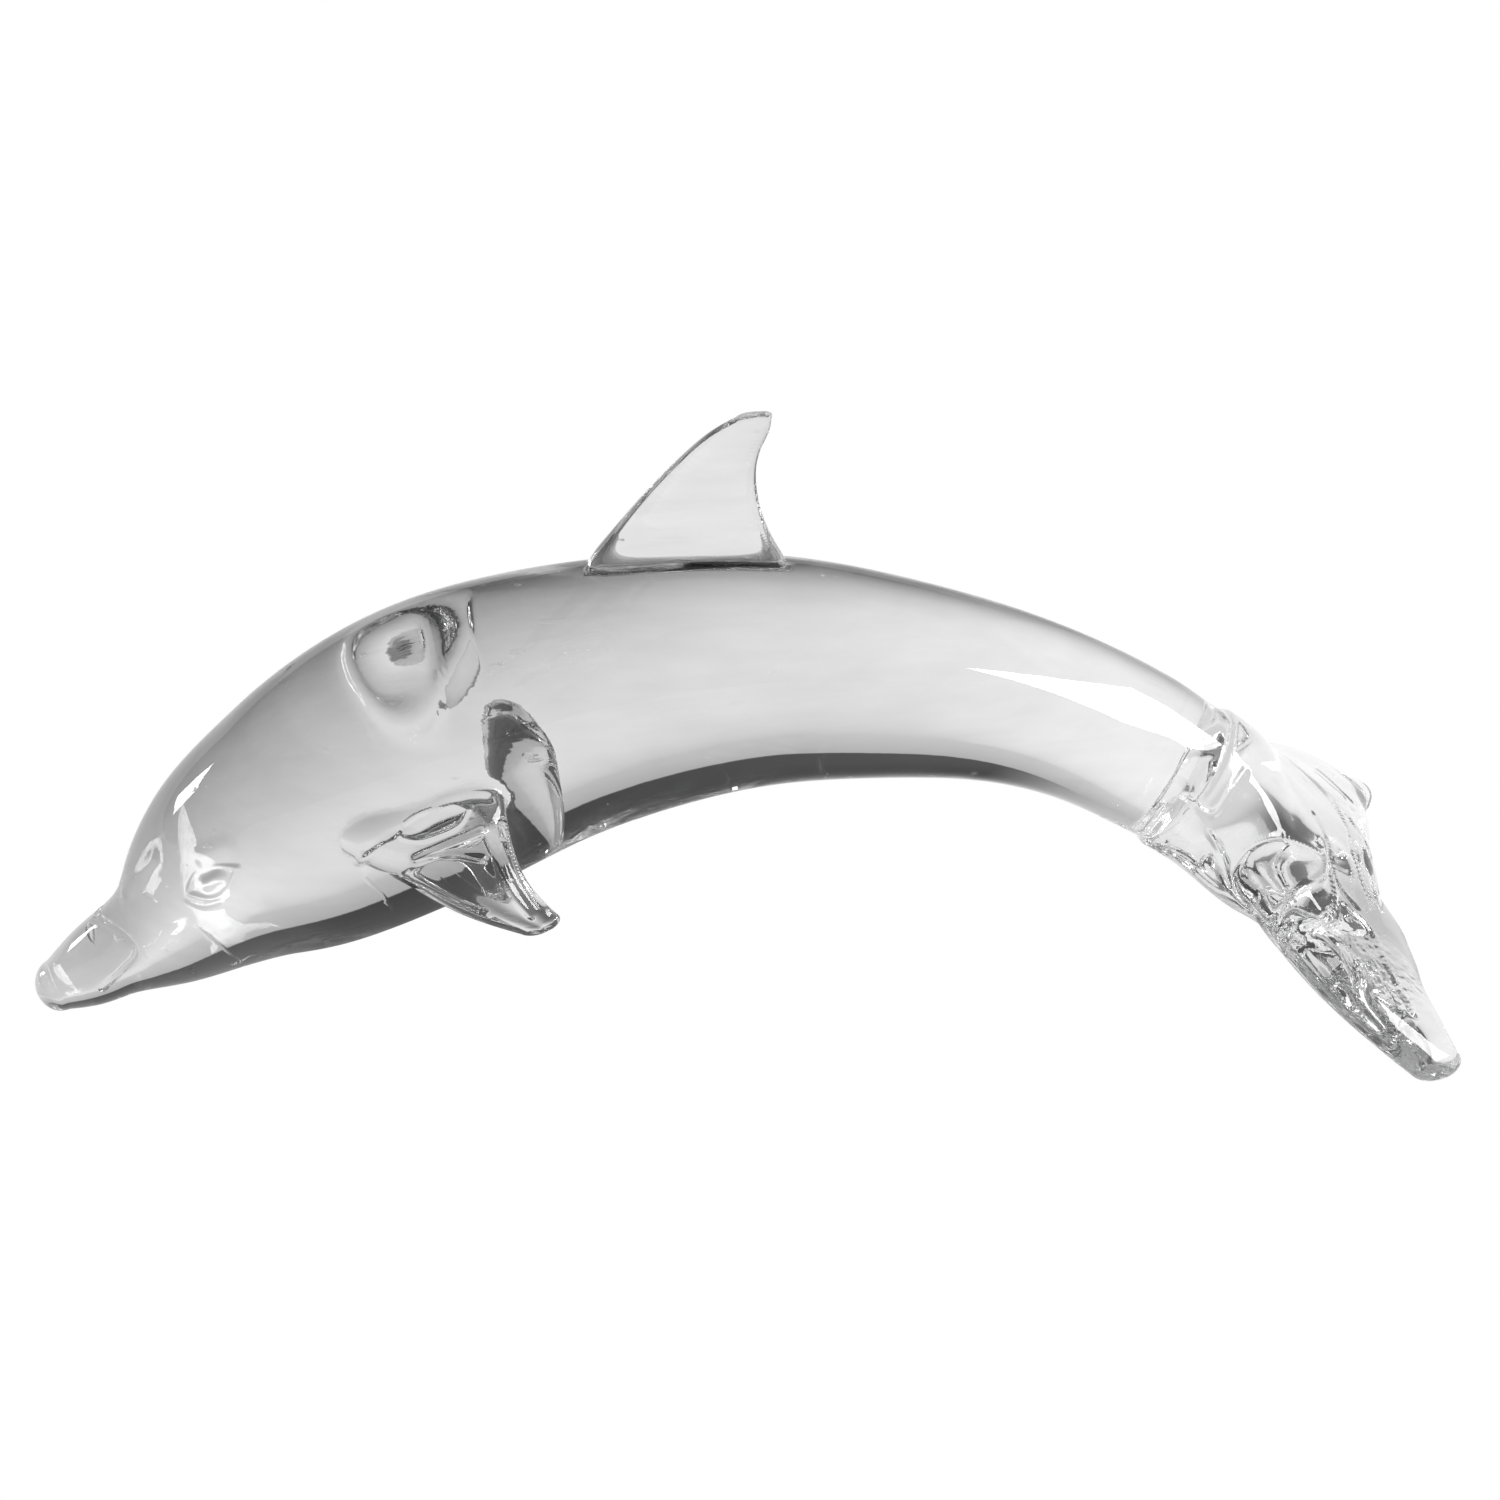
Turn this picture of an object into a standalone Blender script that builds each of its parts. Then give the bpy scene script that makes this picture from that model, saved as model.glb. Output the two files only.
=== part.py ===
"""A solid clear glass dolphin, hot worked as one piece of glass, for Blender 4.5.

The body is one gather, drawn out along an arched spine from the beak to the tail stock. The tail is
flattened, split and drawn into two drooping lobes. The dorsal fin and the two pectoral fins are bits of
the same glass, pressed flat and welded on hot. The mouth line and the eyes are tool marks.
It stands on three small flats: under the beak and under the tip of each fluke.

Sizes are millimetres. X runs from the beak to the tail, Y across to the dolphin's far side, Z up.
"""

import math

import bmesh
import bpy
import numpy as np
from mathutils import Matrix

MM = 0.001

# The body: stations along the spine, as (x, height of the spine, half height, half width)
BEAK_NOSE = (-157.4, 6.6, 6.3, 7.0)
BEAK_MIDDLE = (-149.8, 10.5, 9.1, 9.6)
BEAK_ROOT = (-142.0, 15.0, 10.8, 11.2)
BROW = (-135.2, 18.4, 13.0, 13.0)
FOREHEAD = (-130.2, 21.4, 15.4, 15.4)
TEMPLE = (-121.3, 28.7, 20.4, 20.4)
CHEEK = (-108.9, 38.7, 26.2, 26.2)
THROAT = (-94.0, 47.4, 30.6, 30.6)
SHOULDER = (-77.0, 57.0, 33.3, 33.3)
CHEST = (-58.0, 66.3, 33.8, 33.8)
BREAST = (-38.0, 73.4, 31.9, 31.9)
SADDLE_FRONT = (-13.4, 78.5, 29.2, 29.2)
SADDLE = (13.9, 80.3, 26.3, 26.3)
LOIN = (40.9, 77.1, 23.2, 23.2)
RUMP = (67.9, 70.6, 19.9, 19.9)
STOCK_FRONT = (90.5, 60.4, 18.2, 18.2)
STOCK = (105.0, 50.8, 17.6, 17.6)
TAIL_ROOT = (114.5, 43.8, 16.6, 17.2)
STATIONS = (
    BEAK_NOSE, BEAK_MIDDLE, BEAK_ROOT, BROW, FOREHEAD, TEMPLE, CHEEK, THROAT, SHOULDER, CHEST,
    BREAST, SADDLE_FRONT, SADDLE, LOIN, RUMP, STOCK_FRONT, STOCK, TAIL_ROOT,
)  # fmt: skip
NOSE_LENGTH = 5.4

# The dorsal fin: rows up the fin, as (height over the back, leading x, trailing x, half thickness)
DORSAL_ROWS = (
    (-8.0, -23.6, 20.0, 3.9),
    (-1.4, -24.4, 20.8, 3.8),
    (2.6, -22.6, 19.2, 3.4),
    (7.0, -19.0, 17.3, 3.1),
    (13.0, -13.6, 15.7, 2.9),
    (19.5, -7.4, 15.2, 2.8),
    (26.0, -0.4, 16.4, 2.7),
    (31.0, 6.0, 18.8, 2.5),
    (33.8, 11.2, 19.4, 2.1),
)
DORSAL_TIP_LENGTH = 1.9

# The near pectoral fin, from inside the flank to its tip: rows of the leading and the trailing edge,
# as (x, out from the middle plane, height) twice, then the half thickness
NEAR_FIN_ROWS = (
    ((-82.0, 24.0, 60.0), (-44.0, 24.0, 71.0), 7.0),
    ((-81.5, 31.5, 58.4), (-43.5, 33.0, 68.9), 7.0),
    ((-70.0, 37.0, 53.0), (-42.5, 38.5, 62.5), 5.6),
    ((-56.0, 41.5, 45.8), (-39.5, 42.5, 53.2), 4.3),
    ((-41.5, 44.5, 41.0), (-33.3, 45.5, 45.8), 2.9),
)
# The far one is a rounder gather at its root, and droops less until near its tip
FAR_FIN_ROWS = (
    ((-79.0, 24.0, 55.0), (-58.0, 24.0, 61.8), 14.0),
    ((-79.0, 29.0, 55.0), (-58.0, 30.5, 61.8), 11.0),
    ((-77.9, 33.0, 55.8), (-57.4, 34.5, 62.0), 6.5),
    ((-74.7, 37.0, 55.6), (-55.1, 38.5, 61.0), 4.4),
    ((-67.3, 44.0, 51.3), (-49.3, 45.5, 56.0), 4.0),
    ((-61.0, 50.0, 45.2), (-44.4, 51.5, 49.3), 3.2),
)
FIN_TIP_LENGTH = 2.8

# The tail's fan, which is pressed over the end of the stock: stations like the body's
FAN_STATIONS = (
    (109.5, 47.4, 18.3, 18.6),
    (116.0, 42.0, 17.0, 24.0),
    (123.0, 35.4, 14.5, 35.0),
    (131.0, 29.4, 11.5, 43.5),
    (139.0, 23.8, 9.4, 48.0),
    (146.0, 19.2, 8.0, 47.0),
)
FAN_ROOT_LENGTH = 3.0
FAN_END_LENGTH = 7.0

# One fluke, from inside the fan to its tip, with edges like a pectoral fin's
FLUKE_ROWS = (
    ((118.0, 16.0, 38.0), (150.0, 4.0, 16.0), 8.0),
    ((122.0, 36.0, 34.0), (155.0, 20.0, 12.6), 7.5),
    ((130.5, 50.5, 26.5), (157.0, 36.0, 9.6), 6.4),
    ((141.5, 61.0, 17.2), (159.5, 49.5, 7.2), 5.3),
    ((152.0, 64.5, 7.0), (162.0, 58.0, 5.4), 4.6),
)
FLUKE_TIP_LENGTH = 4.0

# Tool marks. The mouth mark runs forward from its corner, and over the root of the beak: places on
# the body as (x of the spine, angle up from the side)
MOUTH_PATH = (
    (-146.0, -12), (-142.5, -5), (-138.5, 3), (-134.8, 10), (-132.8, 18), (-133.4, 30),
    (-135.6, 45), (-138.8, 65), (-140.6, 90),
)  # fmt: skip
MOUTH_MARK_WIDTH = 1.8
MOUTH_MARK_DEPTH = 0.7
EYE_PLACE = (-107.8, 19)
EYE_LENGTH = 15.0
EYE_HEIGHT = 10.0
EYE_DEPTH = 1.2
PUPIL_LENGTH = 9.0
PUPIL_HEIGHT = 6.0
PUPIL_RISE = 1.15

# The flats that it stands on are this much deep into the rounded beak and fluke tips
FLAT_DEPTH = 0.45

# How flat the blades are pressed: 2 gives an elliptical section, and more a plate with a round rim
DORSAL_FLATNESS = 4.0
FIN_FLATNESS = 2.0
FLUKE_FLATNESS = 2.5

# How finely the shapes are drawn
BODY_SEGMENTS = 36
FAN_SEGMENTS = 28
BODY_STEPS = 3
BLADE_SEGMENTS = 24
BLADE_STEPS = 3
MARK_SEGMENTS = 12
CAP_STEPS = 4

GLASS_COLOUR = (0.93, 0.95, 0.95, 1.0)
GLASS_ROUGHNESS = 0.0
GLASS_IOR = 1.52


def spline(rows, steps):
    """A natural cubic spline through rows of numbers, read `steps` times between each two rows."""
    rows = np.array(rows, float)
    gaps = np.linalg.norm(np.diff(rows[:, :3], axis=0), axis=1)
    last = len(rows) - 1
    system, right = np.eye(last + 1), np.zeros_like(rows)
    for i in range(1, last):
        before, after = gaps[i - 1], gaps[i]
        system[i, i - 1 : i + 2] = before, 2 * (before + after), after
        right[i] = 6 * ((rows[i + 1] - rows[i]) / after - (rows[i] - rows[i - 1]) / before)
    bend = np.linalg.solve(system, right)
    read = []
    for i in range(last):
        for step in range(steps + (i == last - 1)):
            b = step / steps
            a = 1 - b
            curve = ((a**3 - a) * bend[i] + (b**3 - b) * bend[i + 1]) * gaps[i] ** 2 / 6
            read.append(a * rows[i] + b * rows[i + 1] + curve)
    return np.array(read)


def unit(vectors):
    return vectors / np.linalg.norm(vectors, axis=-1, keepdims=True)


def ring(centre, half_width, half_height, segments, flatness):
    """One closed section: an ellipse or a flatter oval with those two half axes, given as vectors."""
    angles = np.arange(segments) * 2 * math.pi / segments
    c, s = (np.sign(wave) * np.abs(wave) ** (2 / flatness) for wave in (np.cos(angles), np.sin(angles)))
    return centre + np.outer(c, half_width) + np.outer(s, half_height)


def rounded(centres, widths, heights, start, end):
    """Adds round ends, of those lengths, to a run of sections. A length of 0 leaves an end flat."""
    quarter = [math.pi / 2 * (i + 1) / (CAP_STEPS + 1) for i in range(CAP_STEPS)]
    parts = [(centres, widths, heights)]
    for length, at, inner in ((start, 0, 1), (end, -1, -2)):
        if not length:
            continue
        out = unit(centres[at] - centres[inner])
        cap = tuple(
            np.array([way(a) for a in quarter])
            for way in (
                lambda a: centres[at] + out * length * math.sin(a),
                lambda a: widths[at] * math.cos(a),
                lambda a: heights[at] * math.cos(a),
            )
        )
        if at == 0:
            parts.insert(0, tuple(rows[::-1] for rows in cap))
        else:
            parts.append(cap)
    return tuple(np.concatenate([part[k] for part in parts]) for k in range(3))


def loft(name, centres, widths, heights, segments, start_length, end_length, flatness=2.0):
    """A closed skin over a run of oval sections, with its ends rounded."""
    tips = (
        centres[0] + unit(centres[0] - centres[1]) * start_length,
        centres[-1] + unit(centres[-1] - centres[-2]) * end_length,
    )
    centres, widths, heights = rounded(centres, widths, heights, start_length, end_length)
    skin = bmesh.new()
    loops = []
    for centre, width, height in zip(centres, widths, heights):
        points = ring(centre, width, height, segments, flatness) * MM
        loops.append([skin.verts.new(point) for point in points])
    for one, other in zip(loops, loops[1:]):
        for i in range(segments):
            j = (i + 1) % segments
            skin.faces.new((one[i], one[j], other[j], other[i]))
    for tip, loop in zip(tips, (loops[0], loops[-1])):
        pole = skin.verts.new(tip * MM)
        for i in range(segments):
            skin.faces.new((pole, loop[i], loop[(i + 1) % segments]))
    bmesh.ops.recalc_face_normals(skin, faces=skin.faces)
    mesh = bpy.data.meshes.new(name)
    skin.to_mesh(mesh)
    skin.free()
    made = bpy.data.objects.new(name, mesh)
    bpy.context.scene.collection.objects.link(made)
    return made


def spine(stations):
    """The rows (x, 0, z, half height, half width) of a shape and the upward direction at each."""
    rows = spline([(x, 0, z, high, wide) for x, z, high, wide in stations], BODY_STEPS)
    along = unit(np.gradient(rows[:, :3], axis=0))
    return rows, np.stack([-along[:, 2], along[:, 1], along[:, 0]], 1)


def on_body(x, angle):
    """A point of the skin, that many degrees up from the dolphin's far side, and the way out there."""
    rows, up = spine(STATIONS)
    row = np.array([np.interp(x, rows[:, 0], column) for column in rows.T])
    upward = unit(np.array([np.interp(x, rows[:, 0], column) for column in up.T]))
    across = np.array([0.0, 1.0, 0.0])
    c, s = math.cos(math.radians(angle)), math.sin(math.radians(angle))
    point = row[:3] + across * row[4] * c + upward * row[3] * s
    return point, unit(across * c / row[4] + upward * s / row[3])


def make_length(name, stations, segments, start_length, end_length):
    """A length of glass along its stations, like the body or the tail's fan."""
    rows, up = spine(stations)
    widths = np.array([0.0, 1.0, 0.0]) * rows[:, 4:5]
    return loft(name, rows[:, :3], widths, up * rows[:, 3:4], segments, start_length, end_length)


def make_blade(name, rows, tip_length, flatness):
    """A pressed blade of glass between a leading and a trailing edge."""
    rows = spline([(*lead, *trail, thick) for lead, trail, thick in rows], BLADE_STEPS)
    lead, trail, thick = rows[:, :3], rows[:, 3:6], rows[:, 6:7]
    centres = (lead + trail) / 2
    chord = (trail - lead) / 2
    flat = unit(np.cross(chord, np.gradient(centres, axis=0)))
    return loft(name, centres, chord, flat * thick, BLADE_SEGMENTS, thick[0, 0] / 2, tip_length, flatness)


def make_dorsal():
    """The dorsal fin, its foot sunk in the back."""
    middle = (DORSAL_ROWS[1][1] + DORSAL_ROWS[1][2]) / 2
    back = on_body(middle, 90)[0][2]
    rows = [((front, 0, back + rise), (rear, 0, back + rise), thick) for rise, front, rear, thick in DORSAL_ROWS]
    return make_blade("dorsal_fin", rows, DORSAL_TIP_LENGTH, DORSAL_FLATNESS)


def make_side_blade(name, side, rows, tip_length, flatness):
    """A blade on the dolphin's far side (1) or on its near side (-1)."""
    turned = [tuple((x, side * out, z) for x, out, z in edges) + (thick,) for *edges, thick in rows]
    return make_blade(name, turned, tip_length, flatness)


def make_mouth():
    """A round rod laid on the skin along the mouth mark, from one side over the beak to the other."""
    far = [on_body(x, angle) for x, angle in MOUTH_PATH]
    near = [on_body(x, 180 - angle) for x, angle in MOUTH_PATH[-2::-1]]
    radius = MOUTH_MARK_WIDTH / 2
    places = spline([(*(point + out * (radius - MOUTH_MARK_DEPTH)), *out) for point, out in far + near], 3)
    centres, out = places[:, :3], unit(places[:, 3:6])
    across = unit(np.cross(out, np.gradient(centres, axis=0)))
    return loft("mouth_mark", centres, across * radius, out * radius, MARK_SEGMENTS, radius, radius)


def make_drop(name, side, length, height, depth, sunk):
    """A flattened drop where the eye is, reaching that depth both ways from its middle in the skin."""
    x, angle = EYE_PLACE
    point, out = on_body(x, angle if side > 0 else 180 - angle)
    ahead = unit(on_body(x - 1, angle if side > 0 else 180 - angle)[0] - point)
    down = np.cross(out, ahead)
    point = point - out * sunk
    centres = np.array([point - ahead * length * 0.02, point + ahead * length * 0.02])
    widths = np.array([down * height / 2] * 2)
    depths = np.array([out * depth] * 2)
    return loft(name, centres, widths, depths, 2 * MARK_SEGMENTS, length * 0.48, length * 0.48)


def boolean(body, other, operation):
    """Joins other to body, or cuts it away, and removes it."""
    step = body.modifiers.new(other.name, "BOOLEAN")
    step.operation = operation
    step.object = other
    step.solver = "EXACT"
    graph = bpy.context.evaluated_depsgraph_get()
    mesh = bpy.data.meshes.new_from_object(body.evaluated_get(graph))
    body.modifiers.clear()
    body.data = mesh
    bpy.data.objects.remove(other)


def set_down(body):
    """Turns and lifts the dolphin until its beak and its flukes are equally deep in the floor."""
    for _ in range(3):
        points = np.array([vertex.co[:] for vertex in body.data.vertices])
        beak = min((p for p in points if p[0] < 0), key=lambda p: p[2])
        tail = min((p for p in points if p[0] > 0), key=lambda p: p[2])
        turn = Matrix.Rotation(math.atan2(tail[2] - beak[2], tail[0] - beak[0]), 4, "Y")
        body.data.transform(turn)
    points = np.array([vertex.co[:] for vertex in body.data.vertices])
    low, high = points.min(0), points.max(0)
    body.data.transform(Matrix.Translation((-(low[0] + high[0]) / 2, 0, -low[2] - FLAT_DEPTH * MM)))


def make_floor():
    """A block that is wider than the dolphin, with its top at the floor."""
    bpy.ops.mesh.primitive_cube_add(size=1, location=(0, 0, -0.01))
    floor = bpy.context.object
    floor.name = "floor"
    floor.data.transform(Matrix.Diagonal((0.5, 0.3, 0.02, 1)))
    return floor


def make_glass():
    glass = bpy.data.materials.new("clear_glass")
    glass.use_nodes = True
    shader = glass.node_tree.nodes["Principled BSDF"]
    shader.inputs["Base Color"].default_value = GLASS_COLOUR
    shader.inputs["Roughness"].default_value = GLASS_ROUGHNESS
    shader.inputs["IOR"].default_value = GLASS_IOR
    shader.inputs["Transmission Weight"].default_value = 1.0
    return glass


def main():
    for thing in list(bpy.data.objects):
        bpy.data.objects.remove(thing)
    body = make_length("glass_dolphin", STATIONS, BODY_SEGMENTS, NOSE_LENGTH, STATIONS[-1][2] / 2)
    for fin in (
        make_length("fan", FAN_STATIONS, FAN_SEGMENTS, FAN_ROOT_LENGTH, FAN_END_LENGTH),
        make_side_blade("near_fluke", -1, FLUKE_ROWS, FLUKE_TIP_LENGTH, FLUKE_FLATNESS),
        make_side_blade("far_fluke", 1, FLUKE_ROWS, FLUKE_TIP_LENGTH, FLUKE_FLATNESS),
        make_side_blade("near_fin", -1, NEAR_FIN_ROWS, FIN_TIP_LENGTH, FIN_FLATNESS),
        make_side_blade("far_fin", 1, FAR_FIN_ROWS, FIN_TIP_LENGTH, FIN_FLATNESS),
        make_dorsal(),
    ):
        boolean(body, fin, "UNION")
    boolean(body, make_mouth(), "DIFFERENCE")
    for side in (1, -1):
        boolean(body, make_drop("eye_mark", side, EYE_LENGTH, EYE_HEIGHT, EYE_DEPTH, 0), "DIFFERENCE")
        boolean(body, make_drop("pupil", side, PUPIL_LENGTH, PUPIL_HEIGHT, PUPIL_RISE, EYE_DEPTH), "UNION")
    set_down(body)
    boolean(body, make_floor(), "DIFFERENCE")
    body.data.materials.append(make_glass())
    body.data.shade_smooth()


main()
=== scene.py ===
import math

import bmesh
import bpy
import numpy as np
from mathutils import Matrix, Vector
from mathutils.kdtree import KDTree
from mathutils.noise import noise


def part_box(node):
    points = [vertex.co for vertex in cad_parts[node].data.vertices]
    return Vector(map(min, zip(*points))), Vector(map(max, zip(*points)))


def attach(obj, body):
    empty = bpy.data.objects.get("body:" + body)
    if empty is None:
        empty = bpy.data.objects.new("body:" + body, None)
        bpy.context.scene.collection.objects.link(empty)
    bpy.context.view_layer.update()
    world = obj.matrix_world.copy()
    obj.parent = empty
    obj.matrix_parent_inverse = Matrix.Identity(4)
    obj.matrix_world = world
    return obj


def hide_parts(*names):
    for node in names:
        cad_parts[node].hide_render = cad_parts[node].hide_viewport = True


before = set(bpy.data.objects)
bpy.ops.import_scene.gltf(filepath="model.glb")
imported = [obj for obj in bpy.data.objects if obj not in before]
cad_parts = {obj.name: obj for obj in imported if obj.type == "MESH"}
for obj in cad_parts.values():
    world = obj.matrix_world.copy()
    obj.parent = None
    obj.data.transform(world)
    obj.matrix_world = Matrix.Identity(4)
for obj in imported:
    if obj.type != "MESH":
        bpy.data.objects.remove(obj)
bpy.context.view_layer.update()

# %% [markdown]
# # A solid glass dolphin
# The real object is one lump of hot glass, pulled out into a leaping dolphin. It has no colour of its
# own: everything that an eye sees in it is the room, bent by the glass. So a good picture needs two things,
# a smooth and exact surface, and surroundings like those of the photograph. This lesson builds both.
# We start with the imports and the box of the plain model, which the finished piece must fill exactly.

MM = 0.001

# %% [markdown]
# Every piece below begins as a bmesh, Blender's form for a mesh while it is being made. One helper turns it
# into an object of the scene, so that each maker can keep to its own shape.

# %% From a mesh in the making to an object


def put_in_scene(name, skin):
    mesh = bpy.data.meshes.new(name)
    skin.to_mesh(mesh)
    skin.free()
    made = bpy.data.objects.new(name, mesh)
    bpy.context.scene.collection.objects.link(made)
    return made


print("helper ready:", put_in_scene.__name__)

# %% [markdown]
# ## The camera
# The photograph was taken from 28 degrees above, a little to the tail's side, with a long lens. We could
# place a camera by eye, but then every later comparison is a guess. Instead the model's outline was fitted
# to the photograph's, and the camera is written as the three axes that came out of that fit.

# %% The camera
AIM = Vector((0.01006, 0.0, 0.05845))
TOWARDS_CAMERA = Vector((0.02877, -0.88295, 0.46859))
CAMERA_RIGHT = Vector((0.99812, 0.0, -0.06127))
CAMERA_DISTANCE = 0.762
FIELD_OF_VIEW = 25.37
NEAREST_SEEN = 0.01


def make_camera():
    back = TOWARDS_CAMERA.normalized()
    right = CAMERA_RIGHT.normalized()
    up = back.cross(right)
    camera = bpy.data.objects.new("camera", bpy.data.cameras.new("camera"))
    turned = Matrix((right, up, back)).transposed().to_4x4()
    camera.matrix_world = Matrix.Translation(AIM + back * CAMERA_DISTANCE) @ turned
    camera.data.angle = math.radians(FIELD_OF_VIEW)
    camera.data.clip_start = NEAREST_SEEN
    bpy.context.scene.collection.objects.link(camera)
    bpy.context.scene.camera = camera
    return camera


camera = make_camera()
print("camera stands at", [round(place, 4) for place in camera.matrix_world.translation])

# %% [markdown]
# ## Letting light travel
# Inside solid glass a line of sight is thrown from wall to wall many times before it gets out. The renderer
# counts each throw as a glossy bounce and gives up after four, which leaves black holes in fins and tail. A
# black patch could be hidden with a lamp, but the true cure is to let the light travel further.

# %% Enough bounces for solid glass
GLASS_BOUNCES = 24
tracer = bpy.context.scene.cycles
tracer.max_bounces = GLASS_BOUNCES
tracer.glossy_bounces = GLASS_BOUNCES
tracer.transmission_bounces = GLASS_BOUNCES
print("light may bounce", tracer.max_bounces, "times")

# %% [markdown]
# ## Arithmetic for shader nodes
# Materials need sums such as `1 - mask`. Adding Math nodes one by one hides the sum in a web of links.
# A small class that wraps a socket lets us write the sum as Python, and it adds the nodes for us. A second
# class holds the tree and has the one method that makes every other kind of node.

# %% A socket that can be calculated with
class Wire:
    """A socket of a node tree. Arithmetic on it adds Math nodes."""

    def __init__(self, tree, socket):
        self.tree, self.socket = tree, socket

    def calculate(self, operation, one, other=0.5):
        return self.tree.add("ShaderNodeMath", {"operation": operation}, {0: one, 1: other})

    def __add__(self, other):
        return self.calculate("ADD", self, other)

    def __radd__(self, other):
        return self.calculate("ADD", other, self)

    def __sub__(self, other):
        return self.calculate("SUBTRACT", self, other)

    def __rsub__(self, other):
        return self.calculate("SUBTRACT", other, self)

    def __mul__(self, other):
        return self.calculate("MULTIPLY", self, other)

    def __rmul__(self, other):
        return self.calculate("MULTIPLY", other, self)

    def __truediv__(self, other):
        return self.calculate("DIVIDE", self, other)

    def __rtruediv__(self, other):
        return self.calculate("DIVIDE", other, self)

    def __pow__(self, other):
        return self.calculate("POWER", self, other)

    def __rpow__(self, other):
        return self.calculate("POWER", other, self)

    def exponential(self):
        return self.calculate("EXPONENT", self)


# %% [markdown]
# The tree's `add` sets a node's settings first, because an operation or a data type decides which sockets
# the node has, and then gives the sockets their values or links.

# %% A tree that nodes are added to
class Tree:
    """The nodes of one material or world."""

    def __init__(self, owner):
        owner.use_nodes = True
        self.nodes, self.links = owner.node_tree.nodes, owner.node_tree.links
        self.nodes.clear()

    def add(self, kind, settings=None, sockets=None, out=0):
        node = self.nodes.new(kind)
        for name, value in (settings or {}).items():
            if name == "stops":
                self.set_stops(node.color_ramp, value)
            else:
                setattr(node, name, value)
        for name, value in (sockets or {}).items():
            if isinstance(value, Wire):
                self.links.new(value.socket, node.inputs[name])
            else:
                node.inputs[name].default_value = value
        return Wire(self, node.outputs[out]) if node.outputs else node

    def set_stops(self, ramp, stops):
        while len(ramp.elements) < len(stops):
            ramp.elements.new(0.5)
        for element, (place, grey) in zip(ramp.elements, stops):
            element.position = place
            element.color = (grey, grey, grey, 1)


print("shader arithmetic is ready")

# %% [markdown]
# ## The room that the glass shows
# Glass has no shading like paint has. Where the picture of the dolphin is dark, a bent line of sight has
# ended on something dark. The narrow dark band along its belly is the room above a white backdrop, whose
# upper edge is 11 degrees over the horizon in front of the camera, and tilts a little. The grey along its
# back is the shade on the table beneath it. The side of the big window, at the tail's end, is the lightest.
# We could build the room from walls, but a world that changes with direction does the same without them.

# %% The world: a white backdrop below, a dim room above
BACKDROP_TOP = 11.0
BACKDROP_EDGE = (-0.2, 0.4)
BACKDROP_TILT = 0.12
LOW_ANGLE = -12
LOW_GREY = 0.86
HORIZON_GREY = 0.64
BACKDROP_GREY = 0.50
ROOM_GREY = 0.045
CEILING_GREY = 0.12
WINDOW_SIDE_GREY = 0.80
WINDOW_SIDE_FROM = 0.05
WINDOW_SIDE_TO = 0.75
WHITE = (1, 1, 1, 1)


def ramp_place(elevation):
    return (math.sin(math.radians(elevation)) + 1) / 2


def make_world():
    world = bpy.data.worlds.new("room")
    bpy.context.scene.world = world
    tree = Tree(world)
    direction = tree.add("ShaderNodeTexCoord")
    height = tree.add("ShaderNodeSeparateXYZ", sockets={0: direction}, out=2)
    stops = [
        (ramp_place(-90), 1.0),
        (ramp_place(LOW_ANGLE), LOW_GREY),
        (ramp_place(0), HORIZON_GREY),
        (ramp_place(BACKDROP_TOP + BACKDROP_EDGE[0]), BACKDROP_GREY),
        (ramp_place(BACKDROP_TOP + BACKDROP_EDGE[1]), ROOM_GREY),
        (ramp_place(90), CEILING_GREY),
    ]
    side = tree.add("ShaderNodeSeparateXYZ", sockets={0: direction}, out=0)
    up_the_ramp = (height - side * BACKDROP_TILT + 1) * 0.5
    room = tree.add("ShaderNodeValToRGB", {"stops": stops}, {0: up_the_ramp})
    smooth = {"interpolation_type": "SMOOTHSTEP"}
    sockets = {0: side, 1: WINDOW_SIDE_FROM, 2: WINDOW_SIDE_TO, 3: 0.0, 4: WINDOW_SIDE_GREY}
    lit = tree.add("ShaderNodeMapRange", smooth, sockets)
    bright = tree.add("ShaderNodeCombineColor", sockets={0: lit, 1: lit, 2: lit})
    lighter = {"data_type": "RGBA", "blend_type": "LIGHTEN"}
    room = tree.add("ShaderNodeMix", lighter, {0: 1.0, 6: room, 7: bright}, out=2)
    path = tree.add("ShaderNodeLightPath")
    seen = tree.add("ShaderNodeMix", {"data_type": "RGBA"}, {0: path, 6: room, 7: WHITE}, out=2)
    light = tree.add("ShaderNodeBackground", sockets={"Color": seen, "Strength": 1.0})
    tree.add("ShaderNodeOutputWorld", sockets={"Surface": light})
    return world


world = make_world()
print("world:", world.name)

# %% [markdown]
# ## The table
# A white table top carries on into the backdrop, so the two look like one. To the camera it is plain white,
# as in the photograph. The glass sees painted shade in the table's glow, standing for the shade that the
# dolphin throws on it: wide beneath the thick head and chest and narrow beneath the slim tail, painted
# shade that deepens slowly towards the horizon, and a little painted light on the side where the window is.

# %% The table and the shade on it
TABLE_SIZE = 8.0
TABLE_GAP = 0.0002
SHADE_FROM = -0.06
SHADE_TO = 0.08
HEAD_SHADE = 0.084
TAIL_SHADE = 0.028
SHADE_LENGTH = 0.15
SHADE_DEPTH = 0.90
TABLE_FADE = 0.40
FADE_REACH = 0.5
GAIN_FROM = 0.0
GAIN_TO = 0.14
WINDOW_SIDE_GAIN = 1.14


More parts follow.
